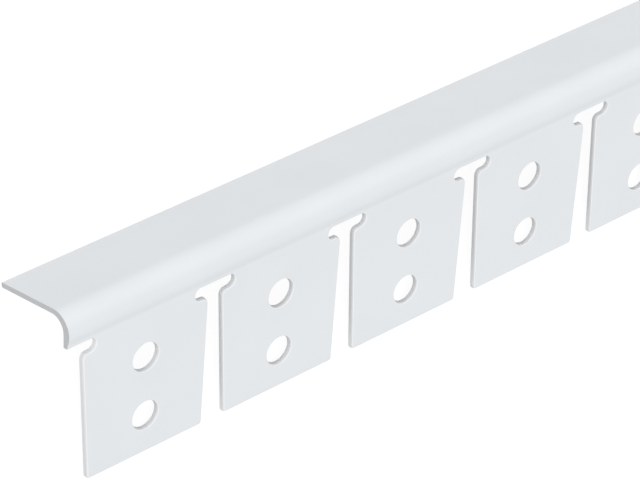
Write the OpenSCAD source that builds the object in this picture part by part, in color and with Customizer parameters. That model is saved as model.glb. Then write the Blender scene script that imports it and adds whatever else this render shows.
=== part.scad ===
// Drywall edge bead: one extruded strip of rigid white vinyl with a plain flange, a rounded
// nose and a leg that is punched into nailing tabs, so that the strip follows a curved edge.
// It is drawn as it lies unheld on a floor, with the nose on top and a free edge on each side.
// The length runs along X, the punched leg slopes down to -Y and the plain flange to +Y.

/* [Stock] */
// Length of one strip as it is sold
length = 3000; // [60:10:3000]
// Wall thickness of the extrusion
wall = 1; // [0.8:0.1:1.4]
// Width of the plain flange, from the face of the nose to its free edge, square to the leg
flange = 17.8; // [13:0.1:30]
// How far the flange leans towards the leg from square, in degrees
flange_lean = 8; // [0:1:12]
// Depth of the punched leg, from the nose's crown to the ends of the tabs
leg = 34.5; // [32:0.1:47]

/* [Nose] */
// Outer radius of the rounded nose
nose_r = 3.6; // [3:0.1:4]
// How far the nose stands proud of the tabs' outer face
nose_proud = 0.5; // [0.3:0.1:0.8]
// Inner radius of the nose, between the flat inner faces of the flange and the leg
inner_r = 2.6; // [2:0.1:3]
// Radius of the hollow that leads from the nose into the tabs
hollow_r = 3; // [2:0.1:4]

/* [Slots] */
// Distance from one slot to the next
pitch = 30; // [24:1:40]
// Length of a slot's head, from round end to round end
head_len = 8.6; // [7.9:0.1:12]
// Height of a slot's head
head_h = 2.4; // [1.6:0.1:3]
// From the nose's crown down to the upper edge of the slots' heads
head_drop = 6.3; // [6:0.1:8]
// Width of a slot's stem where it meets the head
stem_top = 2.9; // [2.4:0.1:3.6]
// Width of a slot's stem at the ends of the tabs
stem_bottom = 4.9; // [3.8:0.1:6]
// The near end is sawn through a slot, this far before the slot's middle
stub = 1.7; // [0.5:0.1:3]
// Radius of the tabs' upper corners
shoulder_r = 1.2; // [0.6:0.1:1.5]
// Radius of the corners at the ends of the tabs
tip_r = 0.6; // [0.3:0.1:1.5]

/* [Nail holes] */
// Diameter of a nail hole
hole_d = 5.4; // [4:0.1:6]
// From the end of a tab up to the centre of its lower hole
hole_rise = 7.6; // [6:0.1:9]
// Distance between the two holes of a tab
hole_gap = 11.9; // [8:0.1:13]

/* [Hidden] */
$fn = 48;

// How far a cut runs past the face that it starts from
past = 1;

// The section is drawn with its second axis up the leg and its first square to it, inwards.
// The tabs' outer face is at 0 on the first, the nose's crown at 0 on the second.
nose_mid = [nose_r - nose_proud, -nose_r];
turn = acos(1 - nose_proud / (nose_r + hollow_r));
// An arc overlaps by this much what it runs into
seam = 0.0005;
hollow_mid = [-hollow_r, -nose_r - (nose_r + hollow_r) * sin(turn) + seam];
flange_out = [sin(flange_lean), cos(flange_lean)];
flange_along = [cos(flange_lean), -sin(flange_lean)];
flange_run = (flange - nose_r - nose_r * flange_out[0]) / flange_along[0];
flange_corner = nose_mid + (nose_r - seam) * flange_out + flange_run * flange_along;
inner_across = wall - seam + inner_r;
inner_mid = [inner_across, nose_mid[1] + (nose_r - wall - inner_r
             - flange_out[0] * (inner_across - nose_mid[0])) / flange_out[1]];

// Lying tilt: the inner corners of the two free edges both touch the floor
tab_foot = [wall, -leg];
flange_foot = flange_corner - wall * flange_out;
tilt = atan2(flange_foot[1] - tab_foot[1], flange_foot[0] - tab_foot[0]);
function lying(p) = [p[0] * cos(tilt) + p[1] * sin(tilt), p[1] * cos(tilt) - p[0] * sin(tilt)];
side_low = lying([0, -leg])[0];
side_high = lying(flange_corner)[0];
floor_shift = [0, -(side_low + side_high) / 2, -lying(tab_foot)[1]];

// Places along the strip, from its near end
slot_places = [for (x = stub; x < length + head_len / 2; x = x + pitch) x];
tab_places = [for (x = stub + pitch / 2; x < length - hole_d; x = x + pitch) x];
hole_drops = [leg - hole_rise - hole_gap, leg - hole_rise];
last_slot = slot_places[len(slot_places) - 1];

// Everything on the board's side of the outer faces
module within_outer_faces() {
    foot = hollow_mid[1] - past;
    translate(nose_mid)
        rotate(-flange_lean)
            translate([0, -nose_r])
                square([flange_run, 2 * nose_r - seam]);
    translate([0, -leg])
        square([nose_mid[0] + past, leg + hollow_mid[1]]);
    translate(nose_mid)
        circle(r = nose_r);
    difference() {
        polygon([nose_mid, hollow_mid, [0, hollow_mid[1]], [0, foot],
                 [nose_mid[0] + past, foot], [nose_mid[0] + past, nose_mid[1]]]);
        translate(hollow_mid)
            circle(r = hollow_r);
    }
}

// Everything on the board's side of the inner faces
module within_inner_faces() {
    translate(inner_mid)
        rotate(-flange_lean)
            translate([0, -nose_r - 2 * past])
                square([flange_run + past, nose_r + 2 * past + inner_r - seam]);
    translate([wall, -leg - past])
        square([nose_mid[0] + 2 * past - wall, leg + past + inner_mid[1]]);
    translate(inner_mid)
        circle(r = inner_r);
}

// Cross-section of the extrusion before it is punched; its wall is thicker in the nose
module profile() {
    difference() {
        within_outer_faces();
        within_inner_faces();
    }
}

// What rounds a convex corner of a tab takes away: tip is the corner, and the unit
// vectors a and b run from it along the tab's two edges
module corner_waste(tip, a, b, r) {
    half = acos(a * b) / 2;
    run = r / tan(half);
    mid = tip + (a + b) / norm(a + b) * r / sin(half);
    difference() {
        polygon([tip + run * a, tip - r * (a + b), tip + run * b, mid]);
        translate(mid)
            circle(r = r);
    }
}

// Outline of one slot, with its centre line up the second axis
module slot_outline() {
    shoulder = -head_drop - head_h;
    head_mid = -head_drop - head_h / 2;
    slope = (stem_bottom - stem_top) / 2 / (leg + shoulder);
    past_half = stem_bottom / 2 + slope * past;
    edge_down = [slope, -1] / norm([slope, -1]);
    translate([-(head_len - head_h) / 2, shoulder])
        square([head_len - head_h, head_h]);
    for (side = [-1, 1])
        translate([side * (head_len - head_h) / 2, head_mid])
            circle(d = head_h);
    polygon([[-stem_top / 2, shoulder], [-stem_top / 2, head_mid], [stem_top / 2, head_mid],
             [stem_top / 2, shoulder], [past_half, -leg - past], [-past_half, -leg - past]]);
    for (side = [0, 1])
        mirror([side, 0]) {
            corner_waste([stem_top / 2, shoulder], [1, 0], edge_down, shoulder_r);
            corner_waste([stem_bottom / 2, -leg], [1, 0], -edge_down, tip_r);
        }
}

// Takes away what is lower than the slots' heads, from one place along the strip to another
module fallen(start, end) {
    translate([start, -nose_proud - past, -leg - past])
        cube([end - start, wall + nose_proud + 2 * past, leg + past - head_drop - head_h / 2]);
}

// The strip with its leg upright and its near end at the origin
module upright_bead() {
    difference() {
        rotate([90, 0, 90])
            linear_extrude(height = length)
                profile();
        for (x = slot_places)
            translate([x, wall + past, 0])
                rotate([90, 0, 0])
                    linear_extrude(height = wall + nose_proud + 2 * past)
                        slot_outline();
        // Where a slot is sawn through, what hangs free of the nose falls away
        fallen(-past, stub);
        if (last_slot < length && last_slot + head_len / 2 > length)
            fallen(last_slot, length + past);
        for (x = tab_places, drop = hole_drops)
            translate([x, wall + past, -drop])
                rotate([90, 0, 0])
                    cylinder(d = hole_d, h = wall + 2 * past);
    }
}

module edge_bead() {
    color("white")
        translate(floor_shift)
            rotate([-tilt, 0, 0])
                translate([-length / 2, 0, 0])
                    upright_bead();
}

edge_bead();
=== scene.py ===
# Drywall edge bead: an extruded strip of rigid white vinyl with a plain flange, a rounded
# nose and a leg punched into nailing tabs, lying unheld on a white floor
import math

import bmesh
import bpy
from mathutils import Matrix, Vector


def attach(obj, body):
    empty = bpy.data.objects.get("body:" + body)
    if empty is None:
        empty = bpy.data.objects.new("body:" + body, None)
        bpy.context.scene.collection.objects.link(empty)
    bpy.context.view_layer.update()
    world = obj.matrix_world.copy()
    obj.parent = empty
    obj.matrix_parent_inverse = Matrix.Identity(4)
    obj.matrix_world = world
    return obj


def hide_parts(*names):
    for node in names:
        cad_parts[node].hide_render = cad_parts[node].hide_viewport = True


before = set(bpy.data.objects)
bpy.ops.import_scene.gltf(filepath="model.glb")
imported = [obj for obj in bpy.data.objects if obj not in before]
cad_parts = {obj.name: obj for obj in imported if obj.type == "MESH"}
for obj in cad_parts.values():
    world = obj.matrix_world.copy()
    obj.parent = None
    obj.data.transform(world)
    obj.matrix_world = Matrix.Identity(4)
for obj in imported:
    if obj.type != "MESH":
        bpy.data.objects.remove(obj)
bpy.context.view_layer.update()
mm = 0.001      # sizes are in mm, Blender works in metres
print("frame loaded, nodes:", sorted(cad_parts))

# The bead's sizes in mm, as in the part's own source
bead = {
    "length": 3000, "wall": 1, "flange": 17.8, "flangeLean": 8, "leg": 34.5,
    "noseRadius": 3.6, "noseProud": 0.5, "innerRadius": 2.6, "hollowRadius": 3,
    "pitch": 30, "headLength": 8.6, "headHeight": 2.4, "headDrop": 6.3,
    "stemTop": 2.9, "stemBottom": 4.9, "stub": 1.7, "shoulderRadius": 1.2, "tipRadius": 0.6,
    "holeDiameter": 5.4, "holeRise": 7.6, "holeGap": 11.9,
    "rollDepth": 0.5,     # the punch rolls the edges in on the outer side
    "rollBack": 0.3,
    "backEase": 0.05,     # and leaves them almost sharp at the back
    "lipRadius": 0.25,    # the die rounds the flange's free edge
    "support": 0.012,     # narrow strip of mesh beside each arc, so that flats shade flat
    # How many flat faces stand in for each arc
    "noseSteps": 14, "hollowSteps": 6, "innerSteps": 9, "lipSteps": 3,
    "headSteps": 10, "shoulderSteps": 5, "tipSteps": 4, "holeSteps": 28, "rollSteps": 3,
    "rolledCut": 0.5,     # rolled and eased edges have half of the cut walls' look, their painted light included
    "weld": 0.002,        # points closer than this are one point
    "sawSlack": 0.0001,   # points this close to the saw's plane lie on it
    "sharpAngle": 33,     # edges that turn by more degrees than this stay sharp
}


def arc(mid, radius, start, end, steps):
    # Points along an arc, from one angle to another in degrees
    angles = [math.radians(start + (end - start) * i / steps) for i in range(steps + 1)]
    return [(mid[0] + radius * math.cos(t), mid[1] + radius * math.sin(t)) for t in angles]


# The section has its first axis square to the leg and inwards, its second up the leg, and its
# zero at the tabs' outer face and the nose's crown
midsApart = bead["noseRadius"] + bead["hollowRadius"]
turn = math.acos(1 - bead["noseProud"] / midsApart)     # where the nose meets the hollow
noseMid = Vector((bead["noseRadius"] - bead["noseProud"], -bead["noseRadius"]))
hollowMid = noseMid - midsApart * Vector((math.cos(turn), math.sin(turn)))
lean = math.radians(bead["flangeLean"])
flangeOut = Vector((math.sin(lean), math.cos(lean)))
flangeAlong = Vector((math.cos(lean), -math.sin(lean)))
flangeRun = (bead["flange"] - bead["noseRadius"] * (1 + flangeOut.x)) / flangeAlong.x
flangeCorner = noseMid + bead["noseRadius"] * flangeOut + flangeRun * flangeAlong
innerAcross = bead["wall"] + bead["innerRadius"]
innerMid = Vector((innerAcross, noseMid.y + (bead["noseRadius"] - innerAcross
                   - flangeOut.x * (innerAcross - noseMid.x)) / flangeOut.y))

# Where the strip lies: both free edges touch the floor at their inner corners
tabFoot = Vector((bead["wall"], -bead["leg"]))
flangeFoot = flangeCorner - bead["wall"] * flangeOut
tilt = math.atan2(flangeFoot.y - tabFoot.y, flangeFoot.x - tabFoot.x)


def lying(point):
    # Turns a point of the upright section to the way the strip lies
    return Vector((point[0] * math.cos(tilt) + point[1] * math.sin(tilt),
                   point[1] * math.cos(tilt) - point[0] * math.sin(tilt)))


floorShift = Vector((-bead["length"] / 2,
                     -(lying((0, -bead["leg"])).x + lying(flangeCorner).x) / 2,
                     -lying(tabFoot).y)) * mm
toFloor = Matrix.Translation(floorShift) @ Matrix.Rotation(-tilt, 4, "X")

# Camera, fitted to the strip as it stands with its leg upright, in mm from its near end. The
# focal length and the image's width are in the photo's pixels.
shot = {"azimuth": 46.543, "elevation": 33.131, "roll": -2.479,
        "place": (-297.52, -372.33, 326.94), "focal": 3578.2, "imageWidth": 640,
        "sensorWidth": 36, "nearest": 50, "farthest": 100000}


def addCamera(view):
    az, el, roll = (math.radians(view[k]) for k in ("azimuth", "elevation", "roll"))
    ahead = Vector((math.cos(az) * math.cos(el), math.sin(az) * math.cos(el), -math.sin(el)))
    level = Vector((math.sin(az), -math.cos(az), 0))
    below = ahead.cross(level)
    right = math.cos(roll) * level + math.sin(roll) * below
    down = math.cos(roll) * below - math.sin(roll) * level
    data = bpy.data.cameras.new("camera")
    data.sensor_fit = "HORIZONTAL"
    data.sensor_width = view["sensorWidth"]
    data.lens = view["focal"] / view["imageWidth"] * view["sensorWidth"]
    data.clip_start, data.clip_end = view["nearest"] * mm, view["farthest"] * mm
    camera = bpy.data.objects.new("camera", data)
    upright = Matrix((right, -down, -ahead)).transposed().to_4x4()
    upright.translation = Vector(view["place"]) * mm
    camera.matrix_world = toFloor @ upright
    bpy.context.scene.collection.objects.link(camera)
    bpy.context.scene.camera = camera


addCamera(shot)
print("camera placed")


def hexColour(code):
    # From sRGB hex to linear
    parts = [int(code[i:i + 2], 16) / 255 for i in (1, 3, 5)]
    return [c / 12.92 if c <= 0.04045 else ((c + 0.055) / 1.055) ** 2.4 for c in parts] + [1]


def addNode(tree, kind, links=None, **settings):
    # Adds a node with its settings; links gives each socket another node's output or a value
    node = tree.nodes.new(kind)
    for name, value in settings.items():
        setattr(node, name, value)
    for socket, value in (links or {}).items():
        if isinstance(value, bpy.types.NodeSocket):
            tree.links.new(value, node.inputs[socket])
        else:
            node.inputs[socket].default_value = value
    return node


# Rigid PVC (uPVC) extruded through a steel die: satin white with a cool cast, faint die lines
# along the strip and a very slight waviness of the tone. Cuts are duller. Their colours hold
# painted light and shade: the punched walls are painted paler and the sawn ends painted greyer.
vinyl = {
    # The punched colour is painted light: paler than the body, for light that the walls would get
    # from behind
    "body": "#E8EBEE", "shade": "#E2E6E9", "punched": "#F8F9FA", "sawn": "#D8DADC",
    "roughness": (0.6, 0.7), "cutRoughness": 0.75, "ior": 1.53,
    "dieLine": 0.9,       # spacing of the coarser die lines in mm
    "dieStretch": 0.02,   # they run the whole length, so their pattern is drawn out along X
    "dieSpan": (0.3, 0.7),    # part of the pattern's range that the roughness follows
    "dieStrength": 0.1, "dieDepth": 0.02,     # the depths are in mm too
    "shearMark": 0.35,    # spacing of the marks that the punch leaves, in mm
    "shearDepth": 0.03,
    "waviness": 14,       # length of the slow unevenness in mm
}


def extrudedUpvc(look):
    material = bpy.data.materials.new("extrudedUpvc")
    material.use_nodes = True
    tree = material.node_tree
    tree.nodes.clear()
    place = addNode(tree, "ShaderNodeTexCoord").outputs["Object"]
    drawn = addNode(tree, "ShaderNodeMapping", {"Vector": place,
                    "Scale": (look["dieStretch"], 1, 1)})
    lines = addNode(tree, "ShaderNodeTexNoise", {"Vector": drawn.outputs[0],
                    "Scale": 1 / (look["dieLine"] * mm), "Detail": 2, "Roughness": 0.55})
    slow = addNode(tree, "ShaderNodeTexNoise", {"Vector": place,
                   "Scale": 1 / (look["waviness"] * mm), "Detail": 1})
    cut = addNode(tree, "ShaderNodeAttribute", attribute_name="cut").outputs["Fac"]
    sawn = addNode(tree, "ShaderNodeAttribute", attribute_name="sawn").outputs["Fac"]
    marks = addNode(tree, "ShaderNodeTexNoise", {"Vector": place,
                    "Scale": 1 / (look["shearMark"] * mm), "Detail": 2})

    # A Mix node takes numbers at its inputs 2 and 3 and colours at 6 and 7, and gives colour at 2
    tone = addNode(tree, "ShaderNodeMix", {0: slow.outputs["Fac"], 6: hexColour(look["shade"]),
                   7: hexColour(look["body"])}, data_type="RGBA")
    # Painted light: the punched walls, and half of it on the rolled edges, painted paler where
    # the lamps reach little
    punched = addNode(tree, "ShaderNodeMix", {0: cut, 6: tone.outputs[2],
                      7: hexColour(look["punched"])}, data_type="RGBA")
    # Painted shade: the sawn ends are painted greyer, as they face away from the lamps
    colour = addNode(tree, "ShaderNodeMix", {0: sawn, 6: punched.outputs[2],
                     7: hexColour(look["sawn"])}, data_type="RGBA")
    satin = addNode(tree, "ShaderNodeMapRange", {"Value": lines.outputs["Fac"],
                    "From Min": look["dieSpan"][0], "From Max": look["dieSpan"][1],
                    "To Min": look["roughness"][0], "To Max": look["roughness"][1]})
    rough = addNode(tree, "ShaderNodeMix", {0: cut, 2: satin.outputs[0],
                    3: look["cutRoughness"]}, data_type="FLOAT")
    lineBump = addNode(tree, "ShaderNodeBump", {"Height": lines.outputs["Fac"],
                       "Strength": look["dieStrength"], "Distance": look["dieDepth"] * mm})
    markBump = addNode(tree, "ShaderNodeBump", {"Height": marks.outputs["Fac"], "Strength": cut,
                       "Distance": look["shearDepth"] * mm, "Normal": lineBump.outputs[0]})
    shader = addNode(tree, "ShaderNodeBsdfPrincipled", {"Base Color": colour.outputs[2],
                     "Roughness": rough.outputs[0], "IOR": look["ior"],
                     "Normal": markBump.outputs[0]})
    addNode(tree, "ShaderNodeOutputMaterial", {"Surface": shader.outputs[0]})
    return material


vinylMaterial = extrudedUpvc(vinyl)
print("material made: extrudedUpvc")


def sectionLoop(size):
    # Once round the section before it is punched: outer face from the flange's free edge to
    # the nailing leg, then back along the inner face
    wall, lip, tiny = size["wall"], size["lipRadius"], size["support"]
    first, turned = 90 - size["flangeLean"], math.degrees(turn)
    lipMid = flangeCorner - lip * (flangeOut + flangeAlong)
    innerLipMid = flangeFoot + lip * (flangeOut - flangeAlong)
    flangeStart = noseMid + flangeOut * size["noseRadius"]
    outer = arc(lipMid, lip, first - 90, first, size["lipSteps"])
    outer.append(flangeCorner - (lip + tiny) * flangeAlong)
    outer.append(flangeStart + tiny * flangeAlong)
    outer += arc(noseMid, size["noseRadius"], first, 180 + turned, size["noseSteps"])
    outer += arc(hollowMid, size["hollowRadius"], turned, 0, size["hollowSteps"])[1:]
    outer.append((0, hollowMid[1] - tiny))
    inner = [(wall, hollowMid[1] - tiny), (wall, innerMid.y - tiny)]
    inner += arc(innerMid, size["innerRadius"], 180, first, size["innerSteps"])
    inner.append(innerMid + size["innerRadius"] * flangeOut + tiny * flangeAlong)
    inner.append(flangeFoot - (lip + tiny) * flangeAlong)
    inner += arc(innerLipMid, lip, first - 180, first - 90, size["lipSteps"])
    return outer, inner


def filletPoints(tip, first, second, radius, steps):
    # Rounds the corner at tip; first and second are unit vectors along its two edges
    half = math.acos(first.dot(second)) / 2
    mid = tip + (first + second).normalized() * radius / math.sin(half)
    a, b = (tip + v * radius / math.tan(half) - mid for v in (first, second))
    start = math.degrees(math.atan2(a.y, a.x))
    swing = math.degrees(a.angle_signed(b))
    return arc(mid, radius, start, start - swing, steps)


def tabChain(size):
    # Right half of a tab's punched outline, from the middle of one slot's head to the middle
    # of the tab's end, then the left half as its mirror image
    middle = size["pitch"] / 2
    shoulder = -size["headDrop"] - size["headHeight"]
    slope = (size["stemBottom"] - size["stemTop"]) / 2 / (size["leg"] + shoulder)
    inward = Vector((-1, 0))
    down = Vector((-slope, -1)).normalized()
    headRadius = size["headHeight"] / 2
    headMid = (middle - size["headLength"] / 2 + headRadius, shoulder + headRadius)
    right = [(middle, -size["headDrop"])]
    right += arc(headMid, headRadius, 90, 270, size["headSteps"])
    right += filletPoints(Vector((middle - size["stemTop"] / 2, shoulder)), inward, down,
                          size["shoulderRadius"], size["shoulderSteps"])
    right += filletPoints(Vector((middle - size["stemBottom"] / 2, -size["leg"])), -down, inward,
                          size["tipRadius"], size["tipSteps"])
    return right + [(-x, b) for x, b in reversed(right)]


def insetChain(chain, distance):
    # Moves an open chain sideways into the tab; its two ends stay on the joints between tabs
    moved = []
    for i, (x, b) in enumerate(chain):
        sides = []
        for j, k in ((i - 1, i), (i, i + 1)):
            if 0 <= j and k < len(chain):
                run = Vector(chain[k]) - Vector(chain[j])
                sides.append(Vector((run.y, -run.x)).normalized())
        mean = sum(sides, Vector((0, 0))).normalized()
        moved.append(Vector((x, b)) + mean * distance / mean.dot(sides[0]))
    return [tuple(p) for p in moved]


def tabModule(size):
    # One pitch of the strip, from slot to slot, its leg upright and the tab's middle at x = 0.
    # The cut attribute is 1 on sheared walls and 0 on what the die left.
    bm = bmesh.new()
    cutLayer = bm.faces.layers.float.new("cut")
    half, wall, ease = size["pitch"] / 2, size["wall"], size["backEase"]

    def ring(points):
        return [bm.verts.new(Vector(p) * mm) for p in points]

    def band(one, two, cut, closed=False):
        count = len(one)
        for i in range(count if closed else count - 1):
            j = (i + 1) % count
            face = bm.faces.new((one[i], one[j], two[j], two[i]))
            face[cutLayer] = cut

    outer, inner = sectionLoop(size)
    left = ring([(-half, a, b) for a, b in outer + inner])
    right = ring([(half, a, b) for a, b in outer + inner])
    split = len(outer)
    band(left[:split], right[:split], 0)
    band(left[split:], right[split:], 0)
    bm.faces.new((left[-1], right[-1], right[0], left[0]))     # across the flange's free edge

    # How far each ring round the tab and its holes lies from the outer face, and how far it is
    # set back from the punched outline
    quarter = [math.radians(90 * i / size["rollSteps"]) for i in range(size["rollSteps"] + 1)]
    depths = [size["rollDepth"] * (1 - math.cos(t)) for t in quarter] + [wall - ease, wall]
    backs = [size["rollBack"] * (1 - math.sin(t)) for t in quarter] + [0, ease]
    chain = tabChain(size)
    top = outer[-1][1] - size["support"]     # the roll ends below the hollow under the nose
    drops = (size["leg"] - size["holeRise"] - size["holeGap"], size["leg"] - size["holeRise"])
    loops = [([[(x, min(b, top)) for x, b in insetChain(chain, back)] for back in backs], False)]
    for drop in drops:
        loops.append(([arc((0, -drop), size["holeDiameter"] / 2 + back, 0, 360,
                           size["holeSteps"])[:-1] for back in backs], True))
    faceEdges = {"front": [], "back": []}
    for outlines, closed in loops:
        rings = [ring([(x, depth, b) for x, b in points])
                 for depth, points in zip(depths, outlines)]
        for i in range(len(rings) - 1):
            sheared = i == size["rollSteps"]
            band(rings[i], rings[i + 1], 1 if sheared else size["rolledCut"], closed)
        for side, loop in (("front", rings[0]), ("back", rings[-1])):
            count = len(loop)
            for i in range(count if closed else count - 1):
                faceEdges[side].append(bm.edges.get((loop[i], loop[(i + 1) % count])))
            if not closed:      # the outline's two ends run up to the section's last line
                at = split - 1 if side == "front" else split
                for a, b in ((loop[0], right[at]), (loop[-1], left[at])):
                    faceEdges[side].append(bm.edges.new((a, b)))
                faceEdges[side].append(bm.edges.get((left[at], right[at])))
    for side, normal in (("front", (0, -1, 0)), ("back", (0, 1, 0))):
        bmesh.ops.triangle_fill(bm, edges=faceEdges[side], use_beauty=True, normal=normal)
    mesh = bpy.data.meshes.new("tabModule")
    bm.to_mesh(mesh)
    bm.free()
    return mesh


def punchedRunTree():
    # Repeats the module along the strip, one pitch apart
    tree = bpy.data.node_groups.new("punchedRun", "GeometryNodeTree")
    sockets = {}
    for name, kind in (("Module", "Geometry"), ("Tabs", "Int"), ("Pitch", "Float"),
                       ("First Tab", "Float"), ("Finish", "Material")):
        sockets[name] = tree.interface.new_socket(name=name, in_out="INPUT",
                                                  socket_type="NodeSocket" + kind)
    tree.interface.new_socket(name="Strip", in_out="OUTPUT", socket_type="NodeSocketGeometry")
    given = addNode(tree, "NodeGroupInput").outputs
    start = addNode(tree, "ShaderNodeCombineXYZ", {"X": given["First Tab"]})
    step = addNode(tree, "ShaderNodeCombineXYZ", {"X": given["Pitch"]})
    row = addNode(tree, "GeometryNodeMeshLine", {"Count": given["Tabs"],
                  "Start Location": start.outputs[0], "Offset": step.outputs[0]}, mode="OFFSET")
    placed = addNode(tree, "GeometryNodeInstanceOnPoints", {"Points": row.outputs[0],
                     "Instance": given["Module"]})
    real = addNode(tree, "GeometryNodeRealizeInstances", {"Geometry": placed.outputs[0]})
    dressed = addNode(tree, "GeometryNodeSetMaterial", {"Geometry": real.outputs[0],
                      "Material": given["Finish"]})
    addNode(tree, "NodeGroupOutput", {"Strip": dressed.outputs[0]})
    return tree, sockets


def sawEnd(bm, x, outward, slack):
    # Saws the strip at x and closes the end
    cutLayer, sawnLayer = (bm.faces.layers.float[name] for name in ("cut", "sawn"))
    found = bmesh.ops.bisect_plane(bm, geom=bm.verts[:] + bm.edges[:] + bm.faces[:],
                                   dist=slack * mm, plane_co=(x * mm, 0, 0),
                                   plane_no=(outward, 0, 0), clear_outer=True)
    rim = [e for e in found["geom_cut"] if isinstance(e, bmesh.types.BMEdge)]
    filled = bmesh.ops.triangle_fill(bm, edges=rim, use_beauty=True, normal=(outward, 0, 0))
    for face in filled["geom"]:
        if isinstance(face, bmesh.types.BMFace):
            face[cutLayer] = face[sawnLayer] = 1


def dropLoose(bm):
    # What a saw cut leaves hanging free of the nose falls away
    reached = {max(bm.verts, key=lambda v: v.co.z)}
    fresh = set(reached)
    while fresh:
        linked = {e.other_vert(v) for v in fresh for e in v.link_edges}
        fresh = linked - reached
        reached |= fresh
    bmesh.ops.delete(bm, geom=[v for v in bm.verts if v not in reached], context="VERTS")


def beadPiece(size, material):
    module = tabModule(size)
    run = bpy.data.objects.new("beadRun", module)
    bpy.context.scene.collection.objects.link(run)
    tree, sockets = punchedRunTree()
    modifier = run.modifiers.new("punchedRun", "NODES")
    modifier.node_group = tree
    # The first module is there only for the short stub before the first slot's middle
    tabs = math.ceil((size["length"] - size["stub"]) / size["pitch"])
    values = {"Tabs": tabs + 1, "Pitch": size["pitch"] * mm,
              "First Tab": (size["stub"] - size["pitch"] / 2) * mm, "Finish": material}
    for name, value in values.items():
        modifier[sockets[name].identifier] = value
    ready = run.evaluated_get(bpy.context.evaluated_depsgraph_get())
    mesh = bpy.data.meshes.new_from_object(ready)
    run.modifiers.remove(modifier)
    bpy.data.objects.remove(run)
    mesh.materials.clear()      # the tree leaves an empty slot before its own
    mesh.materials.append(material)
    print("tabs repeated:", tabs)

    bm = bmesh.new()
    bm.from_mesh(mesh)
    bmesh.ops.remove_doubles(bm, verts=bm.verts[:], dist=size["weld"] * mm)
    # Marks the sawn ends, which the material paints greyer as painted shade
    bm.faces.layers.float.new("sawn")
    sawEnd(bm, 0, -1, size["sawSlack"])
    sawEnd(bm, size["length"], 1, size["sawSlack"])
    dropLoose(bm)
    bmesh.ops.recalc_face_normals(bm, faces=bm.faces[:])
    cutLayer = bm.faces.layers.float["cut"]
    for face in bm.faces:
        face.smooth = True
    for e in bm.edges:      # flat faces stay flat up to the punched edges
        e.smooth = (e.calc_face_angle(0) < math.radians(size["sharpAngle"])
                    and len({face[cutLayer] > 0 for face in e.link_faces}) == 1)
    bm.transform(toFloor)
    bm.to_mesh(mesh)
    print("open edges:", sum(not e.is_manifold for e in bm.edges), "faces:", len(bm.faces),
          "triangles:", sum(len(f.verts) - 2 for f in bm.faces), "volume mm3:",
          round(bm.calc_volume() / mm ** 3, 1))
    bm.free()
    mesh.name = "edgeBead"
    piece = bpy.data.objects.new("vinylEdgeBead", mesh)
    bpy.context.scene.collection.objects.link(piece)
    return piece


edgeBead = beadPiece(bead, vinylMaterial)
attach(edgeBead, "root")
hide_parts("edge_bead")
print("bead in place")

# Studio: a white table, a pale even sky, a broad lamp above and a low window on the flange's side
studio = {
    "floorSize": 60000,
    "paint": "#D0D0D0",
    "glow": 0.945,        # the white that the camera sees on the floor
    "shadowShare": 0.14,      # and how much of the lamps' light and shadow it still shows
    "sky": 0.375,
    # The strength of each lamp, its width in degrees and the way to it
    "keyPower": 2.0, "keyAngle": 60, "keyFrom": (-0.28, -0.14, 0.95),
    "windowPower": 0.93, "windowAngle": 8, "windowFrom": (0.15, 1, 0.07),
}


def seenRays(tree):
    # 1 for rays that show a surface to the camera, straight, mirrored or through glass, and 0
    # for those that light other things
    path = addNode(tree, "ShaderNodeLightPath").outputs
    straight = addNode(tree, "ShaderNodeMath", {0: path["Is Camera Ray"],
                       1: path["Is Glossy Ray"]}, operation="MAXIMUM")
    seen = addNode(tree, "ShaderNodeMath", {0: straight.outputs[0],
                   1: path["Is Transmission Ray"]}, operation="MAXIMUM")
    return seen.outputs[0]


def whitePaint(look):
    # The bead is lit by a matt table of the paint's pale grey; the camera and reflections see
    # plain white instead, with a share of the bead's shadow left
    material = bpy.data.materials.new("mattWhitePaint")
    material.use_nodes = True
    tree = material.node_tree
    tree.nodes.clear()
    paint = addNode(tree, "ShaderNodeBsdfDiffuse", {"Color": hexColour(look["paint"])})
    glow = addNode(tree, "ShaderNodeEmission", {"Strength": look["glow"]})
    dim = addNode(tree, "ShaderNodeBsdfDiffuse", {"Color": [look["shadowShare"]] * 3 + [1]})
    white = addNode(tree, "ShaderNodeAddShader", {0: glow.outputs[0], 1: dim.outputs[0]})
    mixed = addNode(tree, "ShaderNodeMixShader", {0: seenRays(tree), 1: paint.outputs[0],
                    2: white.outputs[0]})
    addNode(tree, "ShaderNodeOutputMaterial", {"Surface": mixed.outputs[0]})
    material.cycles.emission_sampling = "NONE"      # the glow is only seen, it lights nothing
    return material


def addStudio(look):
    half = look["floorSize"] * mm / 2
    mesh = bpy.data.meshes.new("floor")
    mesh.from_pydata([(-half, -half, 0), (half, -half, 0), (half, half, 0), (-half, half, 0)], [],
                     [(0, 1, 2, 3)])
    floor = bpy.data.objects.new("floor", mesh)
    floor.data.materials.append(whitePaint(look))
    bpy.context.scene.collection.objects.link(floor)
    for name in ("key", "window"):
        light = bpy.data.lights.new(name, "SUN")
        light.energy = look[name + "Power"]
        light.angle = math.radians(look[name + "Angle"])
        lamp = bpy.data.objects.new(name, light)
        aim = Vector(look[name + "From"]).to_track_quat("Z", "Y")
        lamp.matrix_world = aim.to_matrix().to_4x4()
        bpy.context.scene.collection.objects.link(lamp)

    world = bpy.data.worlds.new("sky")
    bpy.context.scene.world = world
    world.use_nodes = True
    tree = world.node_tree
    tree.nodes.clear()
    sky = addNode(tree, "ShaderNodeBackground", {"Color": (1, 1, 1, 1), "Strength": look["sky"]})
    white = addNode(tree, "ShaderNodeBackground", {"Color": (1, 1, 1, 1), "Strength": 1})
    mixed = addNode(tree, "ShaderNodeMixShader", {0: seenRays(tree), 1: sky.outputs[0],
                    2: white.outputs[0]})
    addNode(tree, "ShaderNodeOutputWorld", {"Surface": mixed.outputs[0]})


addStudio(studio)
bpy.context.scene.view_settings.view_transform = "Standard"
print("studio lit")
